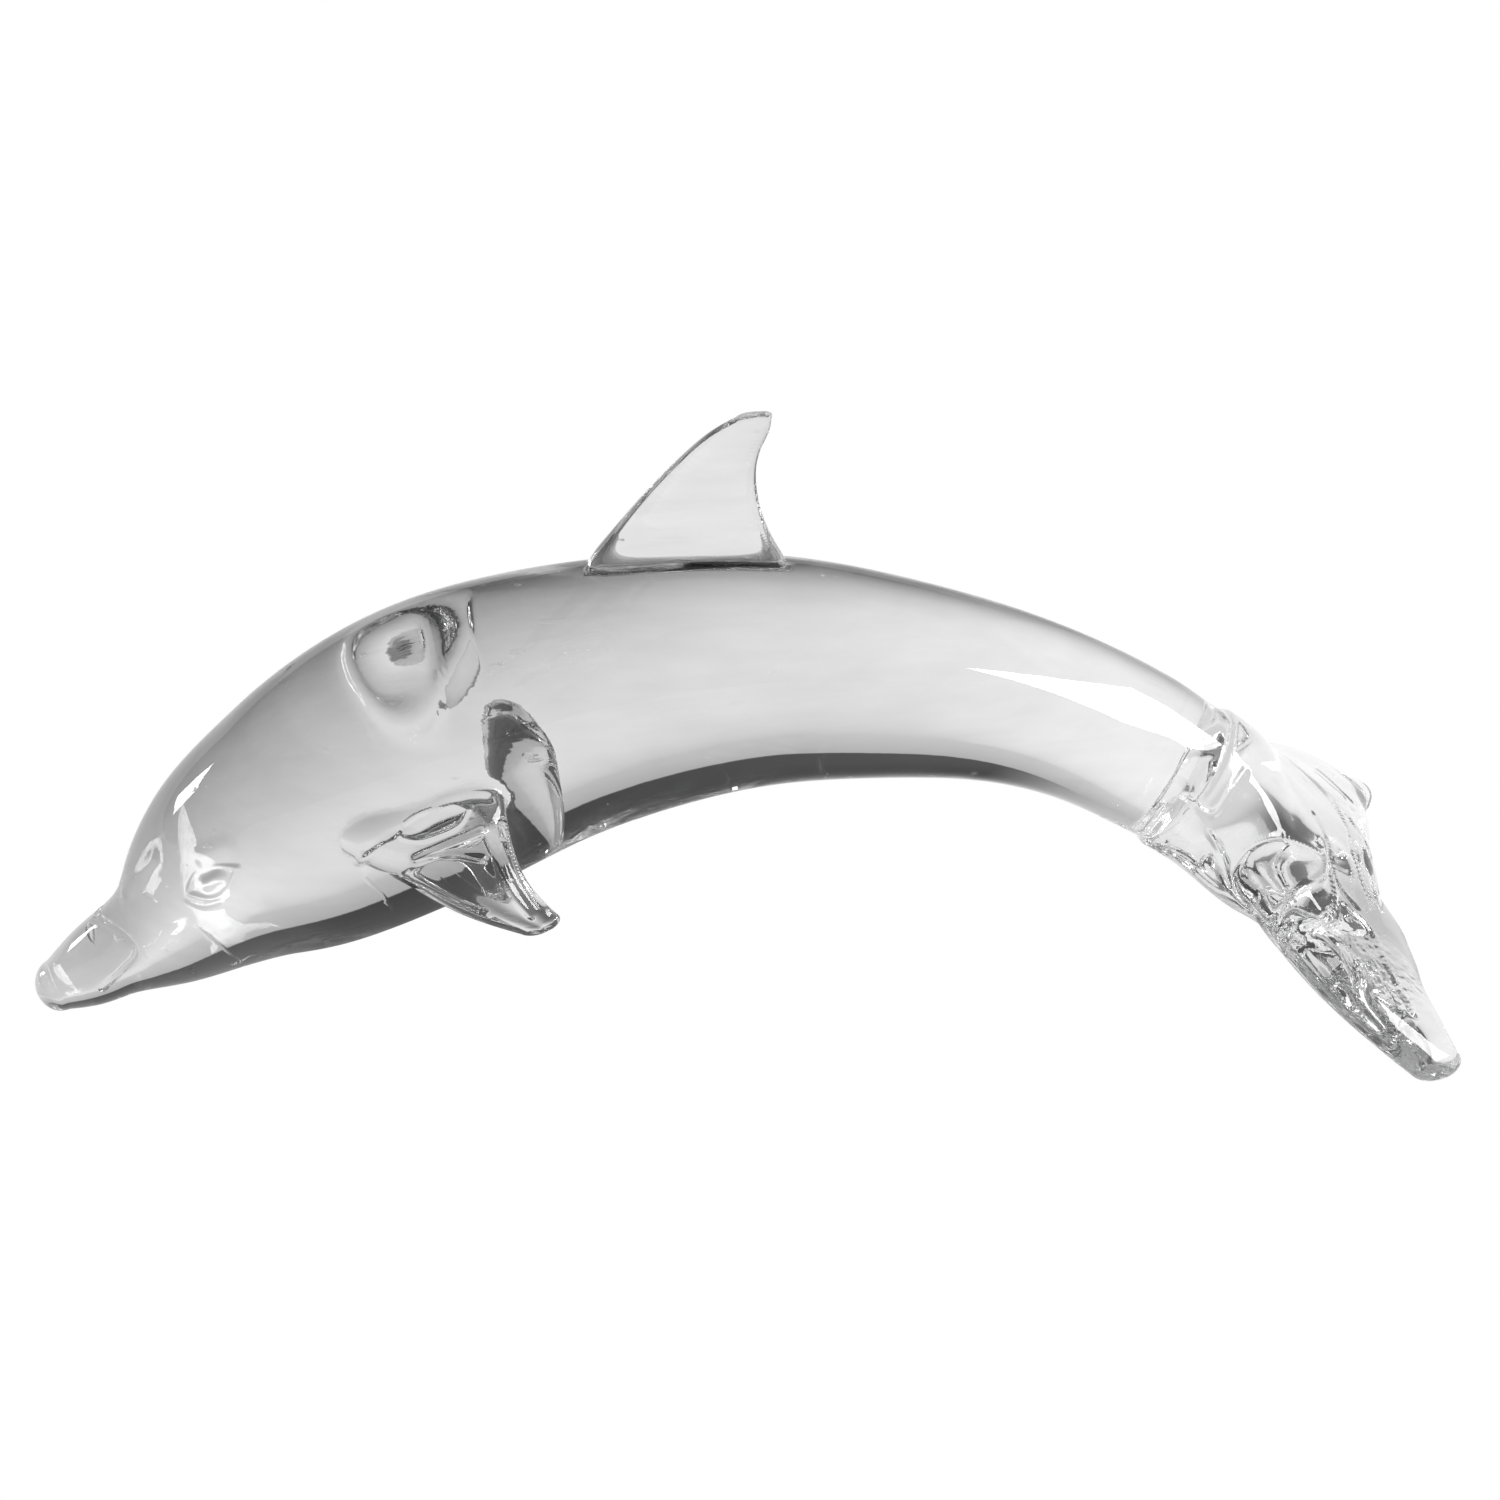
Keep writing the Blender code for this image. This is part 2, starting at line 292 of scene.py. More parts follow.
def make_table():
    skin = bmesh.new()
    bmesh.ops.create_grid(skin, x_segments=1, y_segments=1, size=TABLE_SIZE / 2)
    table = put_in_scene("table", skin)
    table.location.z = -TABLE_GAP
    finish = bpy.data.materials.new("white_table_painted_shade_and_light")
    tree = Tree(finish)
    place = tree.add("ShaderNodeTexCoord", out=3)
    x = tree.add("ShaderNodeSeparateXYZ", sockets={0: place}, out=0)
    y = tree.add("ShaderNodeSeparateXYZ", sockets={0: place}, out=1)
    smooth = {"interpolation_type": "SMOOTHSTEP"}
    sockets = {0: x, 1: SHADE_FROM, 2: SHADE_TO, 3: HEAD_SHADE, 4: TAIL_SHADE}
    # painted shade: the dolphin's shadow is drawn into the table's glow, widest under the head and chest
    deep = y / tree.add("ShaderNodeMapRange", smooth, sockets)
    across = x / SHADE_LENGTH
    shade = (0 - deep * deep - across**4).exponential() * SHADE_DEPTH
    # painted shade that deepens with distance, then painted light on the window's side
    far = (x * x + y * y) ** 0.5
    sockets = {0: x, 1: GAIN_FROM, 2: GAIN_TO, 3: 1.0, 4: WINDOW_SIDE_GAIN}
    lit = tree.add("ShaderNodeMapRange", smooth, sockets)
    grey = (1 - shade) * (1 - TABLE_FADE * far / (far + FADE_REACH)) * lit
    colour = tree.add("ShaderNodeCombineColor", sockets={0: grey, 1: grey, 2: grey})
    # only the glass sees this painted shade and light; the camera sees plain white
    path = tree.add("ShaderNodeLightPath")
    seen = tree.add("ShaderNodeMix", {"data_type": "RGBA"}, {0: path, 6: colour, 7: WHITE}, out=2)
    light = tree.add("ShaderNodeEmission", sockets={"Color": seen, "Strength": 1.0})
    tree.add("ShaderNodeOutputMaterial", sockets={"Surface": light})
    table.data.materials.append(finish)
    return table


table = make_table()
print("table:", table.name)

# %% [markdown]
# ## The windows
# A smooth lump of glass mirrors about a twenty-fifth of what is in front of it, so only something far
# brighter than the table shows on it. The long white streak down the tail is a window on the camera's
# right, and the small lights on the forehead are a far smaller one on the left. A lamp would do, but a
# plain glowing card has the window's straight edges, and they show.

# %% Windows
WINDOW_DISTANCE = 1.5
WINDOWS = {
    "right_window": {"turn": 72, "lift": 33, "width": 1.30, "height": 0.46, "glow": 15.0},
    "left_window": {"turn": -112, "lift": 12, "width": 0.26, "height": 0.16, "glow": 12.0},
}


def make_window(name, turn, lift, width, height, glow):
    """A glowing card, that many degrees round to the right of the near side and above the table."""
    turn, lift = math.radians(turn), math.radians(lift)
    way = Vector((math.sin(turn) * math.cos(lift), -math.cos(turn) * math.cos(lift), math.sin(lift)))
    skin = bmesh.new()
    bmesh.ops.create_grid(skin, x_segments=1, y_segments=1, size=0.5)
    card = put_in_scene(name, skin)
    facing = way.to_track_quat("Z", "Y").to_matrix().to_4x4()
    card.matrix_world = Matrix.Translation(AIM + way * WINDOW_DISTANCE) @ facing
    card.scale = (width, height, 1)
    finish = bpy.data.materials.new(name)
    tree = Tree(finish)
    light = tree.add("ShaderNodeEmission", sockets={"Color": WHITE, "Strength": glow})
    tree.add("ShaderNodeOutputMaterial", sockets={"Surface": light})
    card.data.materials.append(finish)
    return card


for name, place in WINDOWS.items():
    print("window:", make_window(name, **place).name)

# %% [markdown]
# ## The dolphin's shape
# The body was drawn out along an arched spine. We could sculpt it, but a list of stations along the spine
# keeps every thickness in sight. Each station is the place of the spine, then the half height and half
# width there, in millimetres. They are the plain model's own numbers: here they are read far more finely,
# because every flat facet of a lens shows as a break in what is seen through it.

# %% Stations of the body and the tail's fan
STATIONS = (
    (-157.4, 6.6, 6.3, 7.0), (-149.8, 10.5, 9.1, 9.6), (-142.0, 15.0, 10.8, 11.2),
    (-135.2, 18.4, 13.0, 13.0), (-130.2, 21.4, 15.4, 15.4), (-121.3, 28.7, 20.4, 20.4),
    (-108.9, 38.7, 26.2, 26.2), (-94.0, 47.4, 30.6, 30.6), (-77.0, 57.0, 33.3, 33.3),
    (-58.0, 66.3, 33.8, 33.8), (-38.0, 73.4, 31.9, 31.9), (-13.4, 78.5, 29.2, 29.2),
    (13.9, 80.3, 26.3, 26.3), (40.9, 77.1, 23.2, 23.2), (67.9, 70.6, 19.9, 19.9),
    (90.5, 60.4, 18.2, 18.2), (105.0, 50.8, 17.6, 17.6), (114.5, 43.8, 16.6, 17.2),
)  # fmt: skip
NOSE_LENGTH = 5.4
FAN_STATIONS = (
    (109.5, 47.4, 18.3, 18.6), (116.0, 42.0, 17.0, 24.0), (123.0, 35.4, 14.5, 35.0),
    (131.0, 29.4, 11.5, 43.5), (139.0, 23.8, 9.4, 48.0), (146.0, 19.2, 8.0, 47.0),
)  # fmt: skip
FAN_ROOT_LENGTH = 3.0
FAN_END_LENGTH = 7.0
print(len(STATIONS), "stations of the body,", len(FAN_STATIONS), "of the fan")

# %% [markdown]
# The fins and flukes are bits of glass pressed flat with hot pads, then welded on or drawn out. Each is a
# few rows between a leading and a trailing edge: (x, out from the middle, height) twice, and half the
# thickness. The dorsal fin's rows are (height over the back, leading x, trailing x, half thickness). Here
# its plate keeps one thickness down to its foot, because a flaring foot would turn dark.

# %% Rows of the fins and flukes
DORSAL_ROWS = (
    (-8.0, -23.6, 20.0, 3.1), (-1.4, -24.4, 20.8, 3.1), (2.6, -22.6, 19.2, 3.1),
    (7.0, -19.0, 17.3, 3.0), (13.0, -13.6, 15.7, 2.9), (19.5, -7.4, 15.2, 2.8),
    (26.0, -0.4, 16.4, 2.7), (31.0, 6.0, 18.8, 2.5), (33.8, 11.2, 19.4, 2.1),
)  # fmt: skip
DORSAL_TIP_LENGTH = 1.9
NEAR_FIN_ROWS = (
    ((-82.0, 24.0, 60.0), (-44.0, 24.0, 71.0), 7.0),
    ((-81.5, 31.5, 58.4), (-43.5, 33.0, 68.9), 7.0),
    ((-70.0, 37.0, 53.0), (-42.5, 38.5, 62.5), 5.6),
    ((-56.0, 41.5, 45.8), (-39.5, 42.5, 53.2), 4.3),
    ((-41.5, 44.5, 41.0), (-33.3, 45.5, 45.8), 2.9),
)
FAR_FIN_ROWS = (
    ((-79.0, 24.0, 55.0), (-58.0, 24.0, 61.8), 14.0),
    ((-79.0, 29.0, 55.0), (-58.0, 30.5, 61.8), 11.0),
    ((-77.9, 33.0, 55.8), (-57.4, 34.5, 62.0), 6.5),
    ((-74.7, 37.0, 55.6), (-55.1, 38.5, 61.0), 4.4),
    ((-67.3, 44.0, 51.3), (-49.3, 45.5, 56.0), 4.0),
    ((-61.0, 50.0, 45.2), (-44.4, 51.5, 49.3), 3.2),
)
FIN_TIP_LENGTH = 2.8
FLUKE_ROWS = (
    ((118.0, 16.0, 38.0), (150.0, 4.0, 16.0), 8.0),
    ((122.0, 36.0, 34.0), (155.0, 20.0, 12.6), 7.5),
    ((130.5, 50.5, 26.5), (157.0, 36.0, 9.6), 6.4),
    ((141.5, 61.0, 17.2), (159.5, 49.5, 7.2), 5.3),
    ((152.0, 64.5, 7.0), (162.0, 58.0, 5.4), 4.6),
)
FLUKE_TIP_LENGTH = 4.0
DORSAL_FLATNESS = 3.0
FIN_FLATNESS = 2.0
FIN_DENT = 0.3
FLUKE_FLATNESS = 2.5
print("fins and flukes are listed")

# %% [markdown]
# ### Smooth lines through the stations
# A maker's hand gives curves without corners. A natural cubic spline does the same: it is the line that a
# thin lath takes when it is bent round pins.

# %% A spline, and sections along it
BODY_SEGMENTS = 160
FAN_SEGMENTS = 112
BODY_STEPS = 12
BLADE_SEGMENTS = 72
BLADE_STEPS = 10
MARK_SEGMENTS = 20
CAP_STEPS = 10
DENT_REACH = 0.5


def spline(rows, steps):
    """A natural cubic spline through rows of numbers, read `steps` times between each two rows."""
    rows = np.array(rows, float)
    gaps = np.linalg.norm(np.diff(rows[:, :3], axis=0), axis=1)
    last = len(rows) - 1
    system, right = np.eye(last + 1), np.zeros_like(rows)
    for i in range(1, last):
        before, after = gaps[i - 1], gaps[i]
        system[i, i - 1 : i + 2] = before, 2 * (before + after), after
        right[i] = 6 * ((rows[i + 1] - rows[i]) / after - (rows[i] - rows[i - 1]) / before)
    bend = np.linalg.solve(system, right)
    read = []
    for i in range(last):
        for step in range(steps + (i == last - 1)):
            b = step / steps
            a = 1 - b
            curve = ((a**3 - a) * bend[i] + (b**3 - b) * bend[i + 1]) * gaps[i] ** 2 / 6
            read.append(a * rows[i] + b * rows[i + 1] + curve)
    return np.array(read)


def unit(vectors):
    return vectors / np.linalg.norm(vectors, axis=-1, keepdims=True)


def ring(centre, half_width, half_height, segments, flatness, dent):
    """One closed section: an ellipse, a flatter oval with a flatness above 2, hollowed by a dent."""
    angles = np.arange(segments) * 2 * math.pi / segments
    c, s = (np.sign(wave) * np.abs(wave) ** (2 / flatness) for wave in (np.cos(angles), np.sin(angles)))
    s = s * (1 - dent * np.exp(-((c / DENT_REACH) ** 2)))
    return centre + np.outer(c, half_width) + np.outer(s, half_height)


print("spline through two points:", spline([(0, 0, 0), (1, 0, 0)], 2).tolist())


# %% [markdown]
# ### A closed skin
# Sections alone leave the ends open. Glass ends in round drops, because a flame pulls it round, so each
# run of sections gets a cap whose sections shrink along a quarter circle.

# %% Round ends and the skin
def rounded(centres, widths, heights, start, end):
    """Adds round ends, of those lengths, to a run of sections."""
    quarter = [math.pi / 2 * (i + 1) / (CAP_STEPS + 1) for i in range(CAP_STEPS)]
    parts = [(centres, widths, heights)]
    for length, at, inner in ((start, 0, 1), (end, -1, -2)):
        out = unit(centres[at] - centres[inner])
        cap = (
            np.array([centres[at] + out * length * math.sin(a) for a in quarter]),
            np.array([widths[at] * math.cos(a) for a in quarter]),
            np.array([heights[at] * math.cos(a) for a in quarter]),
        )
        if at == 0:
            parts.insert(0, tuple(rows[::-1] for rows in cap))
        else:
            parts.append(cap)
    return tuple(np.concatenate([part[k] for part in parts]) for k in range(3))


def loft(name, centres, widths, heights, segments, start_length, end_length, flatness=2.0, dent=0.0):
    """A closed skin over a run of oval sections, with its ends rounded."""
    tips = (
        centres[0] + unit(centres[0] - centres[1]) * start_length,
        centres[-1] + unit(centres[-1] - centres[-2]) * end_length,
    )
    centres, widths, heights = rounded(centres, widths, heights, start_length, end_length)
    skin = bmesh.new()
    loops = []
    for centre, width, height in zip(centres, widths, heights):
        points = ring(centre, width, height, segments, flatness, dent) * MM
        loops.append([skin.verts.new(point) for point in points])
    for one, other in zip(loops, loops[1:]):
        for i in range(segments):
            j = (i + 1) % segments
            skin.faces.new((one[i], one[j], other[j], other[i]))
    for tip, loop in zip(tips, (loops[0], loops[-1])):
        pole = skin.verts.new(tip * MM)
        for i in range(segments):
            skin.faces.new((pole, loop[i], loop[(i + 1) % segments]))
    bmesh.ops.recalc_face_normals(skin, faces=skin.faces)
    return put_in_scene(name, skin)


def spine(stations):
    """The rows (x, 0, z, half height, half width) of a shape and the upward direction at each."""
    rows = spline([(x, 0, z, high, wide) for x, z, high, wide in stations], BODY_STEPS)
    along = unit(np.gradient(rows[:, :3], axis=0))
    return rows, np.stack([-along[:, 2], along[:, 1], along[:, 0]], 1)


def on_body(x, angle):
    """A point of the skin, that many degrees up from the dolphin's far side, and the way out there."""
    rows, up = spine(STATIONS)
    row = np.array([np.interp(x, rows[:, 0], column) for column in rows.T])
    upward = unit(np.array([np.interp(x, rows[:, 0], column) for column in up.T]))
    across = np.array([0.0, 1.0, 0.0])
    c, s = math.cos(math.radians(angle)), math.sin(math.radians(angle))
    point = row[:3] + across * row[4] * c + upward * row[3] * s
    return point, unit(across * c / row[4] + upward * s / row[3])


print("the back is", round(float(on_body(0, 90)[0][2]), 1), "mm high at the middle")


# %% [markdown]
# ### The lengths and the blades
# The body and the tail's fan are lengths along a spine. Fins and flukes are blades: their sections lie
# between two edges, and are flatter than an ellipse, with a round rim, as a pad leaves them.

# %% Makers of lengths and blades
def make_length(name, stations, segments, start_length, end_length):
    rows, up = spine(stations)
    widths = np.array([0.0, 1.0, 0.0]) * rows[:, 4:5]
    return loft(name, rows[:, :3], widths, up * rows[:, 3:4], segments, start_length, end_length)


def make_blade(name, rows, tip_length, flatness, dent=0.0):
    rows = spline([(*lead, *trail, thick) for lead, trail, thick in rows], BLADE_STEPS)
    lead, trail, thick = rows[:, :3], rows[:, 3:6], rows[:, 6:7]
    centres = (lead + trail) / 2
    chord = (trail - lead) / 2
    flat = unit(np.cross(chord, np.gradient(centres, axis=0)))
    ends = (thick[0, 0] / 2, tip_length)
    return loft(name, centres, chord, flat * thick, BLADE_SEGMENTS, *ends, flatness, dent)


def make_dorsal():
    middle = (DORSAL_ROWS[1][1] + DORSAL_ROWS[1][2]) / 2
    back = on_body(middle, 90)[0][2]
    rows = []
    for rise, front, rear, thick in DORSAL_ROWS:
        rows.append(((front, 0, back + rise), (rear, 0, back + rise), thick))
    return make_blade("dorsal_fin", rows, DORSAL_TIP_LENGTH, DORSAL_FLATNESS)


def make_side_blade(name, side, rows, tip_length, flatness, dent=0.0):
    """A blade on the dolphin's far side (1) or on its near side (-1)."""
    turned = [tuple((x, side * out, z) for x, out, z in edges) + (thick,) for *edges, thick in rows]
    return make_blade(name, turned, tip_length, flatness, dent)


print("the dorsal fin rises", round(DORSAL_ROWS[-1][0] + DORSAL_TIP_LENGTH, 1), "mm over the back")

# %% [markdown]
# ### The mouth
# The mouth is a line pressed into the root of the beak. Cutting a rod out of the skin gives its edges the
# way light catches them; a bump map would look painted on, because it can't move what shows behind it.

# %% The mouth
MOUTH_PATH = (
    (-146.0, -12), (-142.5, -5), (-138.5, 3), (-134.8, 10), (-132.8, 18), (-133.4, 30),
    (-135.6, 45), (-138.8, 65), (-140.6, 90),
)  # fmt: skip
MOUTH_MARK_WIDTH = 2.2
MOUTH_MARK_DEPTH = 0.9
MOUTH_STEPS = 6


def make_mouth():
    """A round rod laid on the skin along the mouth mark, from one side over the beak to the other."""
    far = [on_body(x, angle) for x, angle in MOUTH_PATH]
    near = [on_body(x, 180 - angle) for x, angle in MOUTH_PATH[-2::-1]]
    radius = MOUTH_MARK_WIDTH / 2
    lift = radius - MOUTH_MARK_DEPTH
    places = spline([(*(point + out * lift), *out) for point, out in far + near], MOUTH_STEPS)
    centres, out = places[:, :3], unit(places[:, 3:6])
    across = unit(np.cross(out, np.gradient(centres, axis=0)))
    return loft("mouth_mark", centres, across * radius, out * radius, MARK_SEGMENTS, radius, radius)


print("the mouth mark runs through", len(MOUTH_PATH), "points on each side")


# %% [markdown]
# ### Welding it together
# Hot bits of glass melt into each other. Exact Booleans join the skins into one, so that there is no glass
# wall left inside the body: a second wall would show as a ghost.

# %% Joining and cutting


def join(body, other, operation):
    """Joins other to body, or cuts it away, and removes it."""
    step = body.modifiers.new(other.name, "BOOLEAN")
    step.operation = operation
    step.object = other
    step.solver = "EXACT"
    graph = bpy.context.evaluated_depsgraph_get()
    mesh = bpy.data.meshes.new_from_object(body.evaluated_get(graph))
    body.modifiers.clear()
    body.data = mesh
    bpy.data.objects.remove(other)


print("helper ready:", join.__name__)

# %% [markdown]
# Later steps move thousands of points at once. Reading them all into one table of numbers and writing them
# back is far quicker than a loop over Blender's own list.

# %% All points of a mesh at once


def numbers_of(body, kind):
    """One row of three numbers for each vertex: its place ("co") or its "normal"."""
    flat = np.empty(len(body.data.vertices) * 3)
    body.data.vertices.foreach_get(kind, flat)
    return flat.reshape(-1, 3)


def put_points(body, points):
    body.data.vertices.foreach_set("co", points.ravel())
    body.data.update()


print("helpers ready:", numbers_of.__name__, "and", put_points.__name__)

# %% [markdown]
# ### Softening the welds
# Molten glass never leaves a sharp inner corner, so the surface is smoothed a little around each weld. A
# bevel would ask for clean edges, which a Boolean doesn't leave, so each point is drawn towards the middle
# of its neighbours instead, the more the nearer it is to the corner.

# %% Softening
FLOW = 0.6
WELD_REACH = 1.1
WELD_ROUNDS = 5
WELD_ANGLE = 18


def creases(body, least, inner_only):
    """The vertices on edges that turn by more than that angle, or only on inner corners."""
    skin = bmesh.new()
    skin.from_mesh(body.data)
    found = set()
    for edge in skin.edges:
        turn = math.degrees(edge.calc_face_angle_signed(0))
        if (-turn if inner_only else abs(turn)) > least:
            found.update(vertex.index for vertex in edge.verts)
    skin.free()
    return sorted(found)


def soften(body, reach, rounds, least, inner_only=True):
    """Lets the surface flow near its creases, most at the crease and not at all beyond reach."""
    points = numbers_of(body, "co")
    seam = creases(body, least, inner_only)
    tree = KDTree(len(seam))
    for i, vertex in enumerate(seam):
        tree.insert(points[vertex], i)
    tree.balance()
    away = np.array([tree.find(point)[2] for point in points])
    weight = np.clip(1 - away / (reach * MM), 0, 1)[:, None] * FLOW
    pairs = np.empty(len(body.data.edges) * 2, int)
    body.data.edges.foreach_get("vertices", pairs)
    one, other = pairs.reshape(-1, 2).T
    count = np.bincount(pairs, minlength=len(points))[:, None]
    for _ in range(rounds):
        total = np.zeros_like(points)
        np.add.at(total, one, points[other])
        np.add.at(total, other, points[one])
        points = points + weight * (total / count - points)
    put_points(body, points)
    return len(seam)


print("a weld is softened up to", WELD_REACH, "mm away from its corner")

# %% [markdown]
# ### Folds of the tail
# The tail's glass was pulled and pressed while soft, and kept shallow folds along its length. We could draw
# each one, but they have no pattern: two layers of noise, stretched along the tail, give the same unrest.

# %% Folds of the tail
FOLD_START = 106.0
FOLD_GROWTH = 12.0
FOLD_SIDE = 66.0
FOLD_SIDE_GROWTH = 14.0
FOLD_SEED = (7.3, 2.1)
FOLDS = ((34.0, 13.0, 0.8), (22.0, 8.0, 0.25))


def make_folds(body):
    """Moves the tail's points along their normals by layers of (length, width, height)."""
    points = numbers_of(body, "co") / MM
    normals = numbers_of(body, "normal")
    tail = np.nonzero(points[:, 0] > FOLD_START)[0]
    for i in tail:
        x, y, z = points[i]
        grow = min(1, (x - FOLD_START) / FOLD_GROWTH)
        grow *= min(1, max(0, (FOLD_SIDE - abs(y)) / FOLD_SIDE_GROWTH))
        rise = 0
        for long, wide, height in FOLDS:
            place = (x / long + FOLD_SEED[0], y / wide, z / wide + FOLD_SEED[1])
            rise += height * noise(place)
        points[i] += normals[i] * rise * grow
    put_points(body, points * MM)
    return len(tail)


print(len(FOLDS), "layers of folds, from x =", FOLD_START, "mm on")

# %% [markdown]
# ### The dolphin in one piece
# The far fin is welded first and softened most: it is seen through the whole body, and a lens that thick
# shows the smallest corner. The mouth is cut last, and its edges are only just rounded.

# %% Welding the dolphin
FAR_WELD_REACH = 4.5
FAR_WELD_ROUNDS = 45
MOUTH_EDGE_REACH = 0.9
MOUTH_EDGE_ROUNDS = 3
MOUTH_EDGE_ANGLE = 35


def make_dolphin():
    body = make_length("dolphin_glass", STATIONS, BODY_SEGMENTS, NOSE_LENGTH, STATIONS[-1][2] / 2)
    join(body, make_side_blade("far_fin", 1, FAR_FIN_ROWS, FIN_TIP_LENGTH, FIN_FLATNESS), "UNION")
    soften(body, FAR_WELD_REACH, FAR_WELD_ROUNDS, WELD_ANGLE)
    for fin in (
        make_length("fan", FAN_STATIONS, FAN_SEGMENTS, FAN_ROOT_LENGTH, FAN_END_LENGTH),
        make_side_blade("near_fluke", -1, FLUKE_ROWS, FLUKE_TIP_LENGTH, FLUKE_FLATNESS),
        make_side_blade("far_fluke", 1, FLUKE_ROWS, FLUKE_TIP_LENGTH, FLUKE_FLATNESS),
        make_side_blade("near_fin", -1, NEAR_FIN_ROWS, FIN_TIP_LENGTH, FIN_FLATNESS, FIN_DENT),
        make_dorsal(),
    ):
        join(body, fin, "UNION")
    print("folds laid over", make_folds(body), "points")
    print("welds softened at", soften(body, WELD_REACH, WELD_ROUNDS, WELD_ANGLE), "points")
    join(body, make_mouth(), "DIFFERENCE")
    soften(body, MOUTH_EDGE_REACH, MOUTH_EDGE_ROUNDS, MOUTH_EDGE_ANGLE, inner_only=False)
    return body


dolphin = make_dolphin()
print("dolphin:", len(dolphin.data.polygons), "faces")


# %% [markdown]
# ### Standing it up
# The numbers above were measured in the photograph's upright frame. The finished piece stands level on its
# beak and flukes, so it is turned until both are equally low, and sunk a little for the flats it rests on.
# Last, it is laid exactly into the plain model's box.

# %% Setting it down
FLAT_DEPTH = 0.45
LEVELLING_ROUNDS = 3
BLOCK_SIZE = (0.5, 0.3, 0.02)


def lowest(points):
    return points[points[:, 2].argmin()]


def set_down(body):
    for _ in range(LEVELLING_ROUNDS):
        points = numbers_of(body, "co")
        beak = lowest(points[points[:, 0] < 0])
        tail = lowest(points[points[:, 0] > 0])
        turn = Matrix.Rotation(math.atan2(tail[2] - beak[2], tail[0] - beak[0]), 4, "Y")
        body.data.transform(turn)
    points = numbers_of(body, "co")
    low, high = points.min(0), points.max(0)
    body.data.transform(Matrix.Translation((-(low[0] + high[0]) / 2, 0, -low[2] - FLAT_DEPTH * MM)))


def make_block():
    """A block that is wider than the dolphin, with its top at the table."""
    skin = bmesh.new()
    bmesh.ops.create_cube(skin, size=1.0)
    lowered = Matrix.Translation((0, 0, -BLOCK_SIZE[2] / 2))
    bmesh.ops.transform(skin, matrix=lowered @ Matrix.Diagonal((*BLOCK_SIZE, 1)), verts=skin.verts)
    return put_in_scene("block", skin)


def fit_to_box(body, low, high):
    points = numbers_of(body, "co")
    least, most = points.min(0), points.max(0)
    scale = (np.array(high) - np.array(low)) / (most - least)
    move = np.array(low) - least * scale
    body.data.transform(Matrix.Translation(move) @ Matrix.Diagonal((*scale, 1)))
    return scale


set_down(dolphin)
join(dolphin, make_block(), "DIFFERENCE")
print("scaled by", fit_to_box(dolphin, *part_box("glass_dolphin")).round(5).tolist(), "to fill the box")

# %% [markdown]
# ### Lines that the tools left
# A stamp raised the rim of each eye, and pads and knives left ridges and grooves in the fins and the tail.
# A bump map would be quicker, but it can't move what shows behind it, so they are drawn in the mesh. Each
# is (half width, height, points on the finished surface) in millimetres, and a groove has a height below 0.

# %% Lines of the eyes and the fins
EYE_LINES = (
    (0.65, 0.80, (
        (-118.1, -22.9, 42.0), (-116.0, -22.5, 45.8), (-112.5, -23.7, 48.9), (-105.2, -27.4, 50.3),
    )),
    (0.65, 0.80, (
        (-118.1, -22.9, 42.0), (-111.5, -25.1, 41.8), (-107.9, -26.4, 45.0), (-105.2, -27.4, 50.3),
    )),
    (1.50, 1.30, ((-113.4, -25.4, 45.2), (-109.9, -26.2, 47.3))),
    (0.80, -0.30, ((-118.9, -22.7, 40.1), (-115.6, -24.2, 39.1), (-111.0, -25.9, 40.7))),
    (2.20, 0.60, ((-136.2, -8.5, 34.6), (-131.3, -12.6, 41.0), (-126.6, -15.0, 46.8))),
    (2.60, 0.70, ((-113.6, -23.2, 51.3), (-107.4, -25.4, 54.4))),
)  # fmt: skip
NEAR_FIN_LINES = (
    (2.40, -1.10, ((-63.0, -38.3, 63.4), (-58.9, -38.1, 65.5), (-54.0, -38.4, 67.2))),
    (0.60, 0.60, (
        (-51.0, -38.4, 67.8), (-52.6, -40.0, 65.7), (-57.8, -40.1, 63.0), (-63.5, -39.5, 61.7),
        (-66.4, -38.5, 62.6), (-64.8, -36.8, 64.7), (-59.7, -36.1, 67.0), (-53.9, -37.0, 68.4),
        (-51.0, -38.4, 67.8),
    )),
    (0.90, 0.70, ((-77.1, -33.1, 53.4), (-74.8, -38.1, 56.9), (-70.5, -38.7, 60.0))),
    (0.80, -0.80, ((-42.5, -39.5, 60.3), (-39.7, -43.1, 52.1), (-36.5, -45.7, 47.1))),
    (0.90, 0.95, ((-48.4, -41.2, 63.4), (-55.6, -41.2, 60.8), (-63.0, -41.1, 57.7))),
    (0.90, 0.95, ((-63.0, -41.1, 57.7), (-55.4, -41.5, 58.9), (-48.4, -42.8, 58.0))),
    (0.80, 0.60, (
        (-47.5, -41.2, 63.1), (-45.2, -43.0, 56.9), (-42.4, -45.6, 50.4), (-38.8, -46.9, 45.4),
    )),
    (0.90, -0.60, (
        (-75.5, -32.9, 51.7), (-67.2, -40.0, 52.5), (-60.0, -42.5, 49.7), (-48.7, -45.6, 45.5),
    )),
    (0.95, -0.90, (
        (-74.9, -38.0, 58.7), (-66.2, -37.7, 63.5), (-57.1, -36.3, 67.9), (-46.9, -35.7, 69.2),
    )),
)  # fmt: skip
DORSAL_LINES = (
    (1.00, -0.25, ((-7.8, -3.1, 113.2), (-0.8, -3.1, 113.0))),
    (0.90, -0.22, (
        (-14.5, -2.6, 114.5), (-8.6, -2.6, 120.8), (2.8, -2.2, 132.6), (10.6, -1.6, 137.6),
    )),
    (0.75, -0.40, (
        (16.2, -2.2, 137.0), (14.3, -2.2, 126.2), (15.3, -2.0, 117.7), (17.3, -2.4, 109.8),
    )),
)  # fmt: skip
print("lines:", len(EYE_LINES), "at each eye,", len(NEAR_FIN_LINES), "in the near fin")

